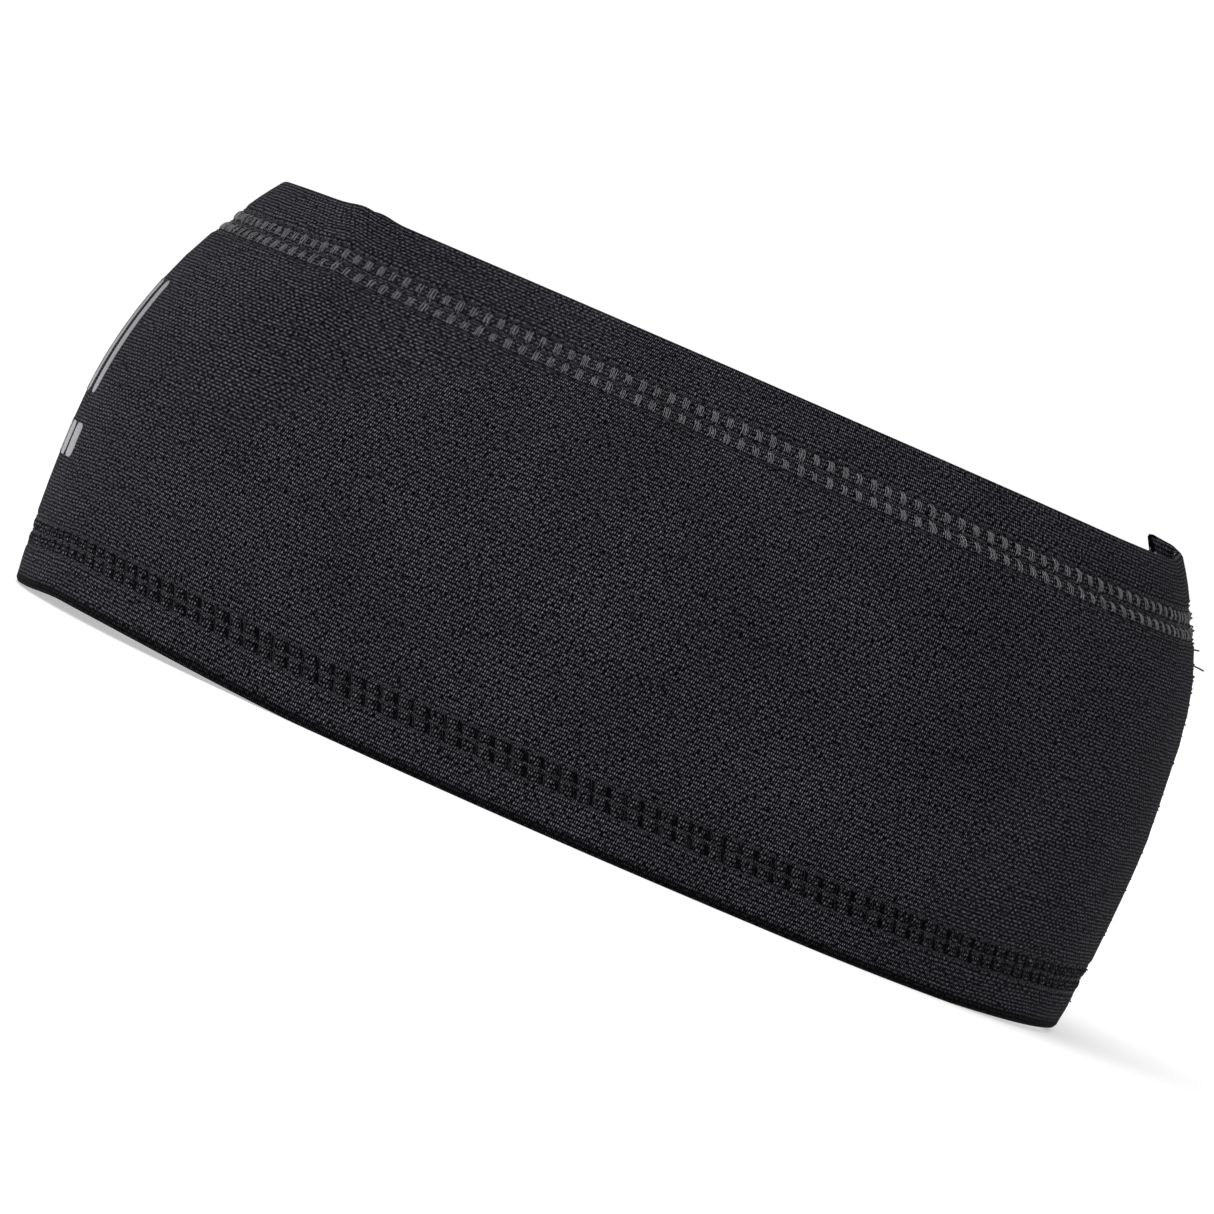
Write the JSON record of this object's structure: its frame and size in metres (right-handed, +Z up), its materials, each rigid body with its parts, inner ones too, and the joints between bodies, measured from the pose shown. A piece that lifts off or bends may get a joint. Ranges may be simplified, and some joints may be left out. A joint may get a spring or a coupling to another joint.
{
  "type": "sports headband",
  "caption": "Wide stretch-knit sports headband with a coverstitched hem at each edge, an overlocked nape seam and reflective print on the forehead.",
  "frame": {"origin": "middle of the ring, on the plane that the lower hem rests on", "axes": "+Z up the ring; -X towards the forehead; +X towards the nape seam; -Y towards the wearer's left"},
  "size_m": [0.2051, 0.152, 0.085],
  "materials": {
    "knit_cloth": "fine black stretch jersey",
    "sewing_thread": "tight black polyester thread",
    "textured_thread": "soft black textured thread",
    "reflective_film": "silver-grey retroreflective transfer film",
    "label_satin": "blank white woven satin"
  },
  "bodies": {
    "root": {"knit_band": "knit_cloth", "upper_hem_needle_thread_1": "sewing_thread", "upper_hem_needle_thread_2": "sewing_thread", "upper_hem_needle_thread_3": "sewing_thread", "upper_hem_cover_thread": "textured_thread", "upper_hem_looper_thread": "textured_thread", "lower_hem_needle_thread_1": "sewing_thread", "lower_hem_needle_thread_2": "sewing_thread", "lower_hem_needle_thread_3": "sewing_thread", "lower_hem_cover_thread": "textured_thread", "lower_hem_looper_thread": "textured_thread", "seam_needle_thread_1": "sewing_thread", "seam_needle_thread_2": "sewing_thread", "seam_inner_looper_thread": "textured_thread", "seam_outer_looper_thread": "textured_thread", "reflective_bars": "reflective_film", "reflective_blocks": "reflective_film", "care_label": "label_satin"}
  },
  "joints": []
}
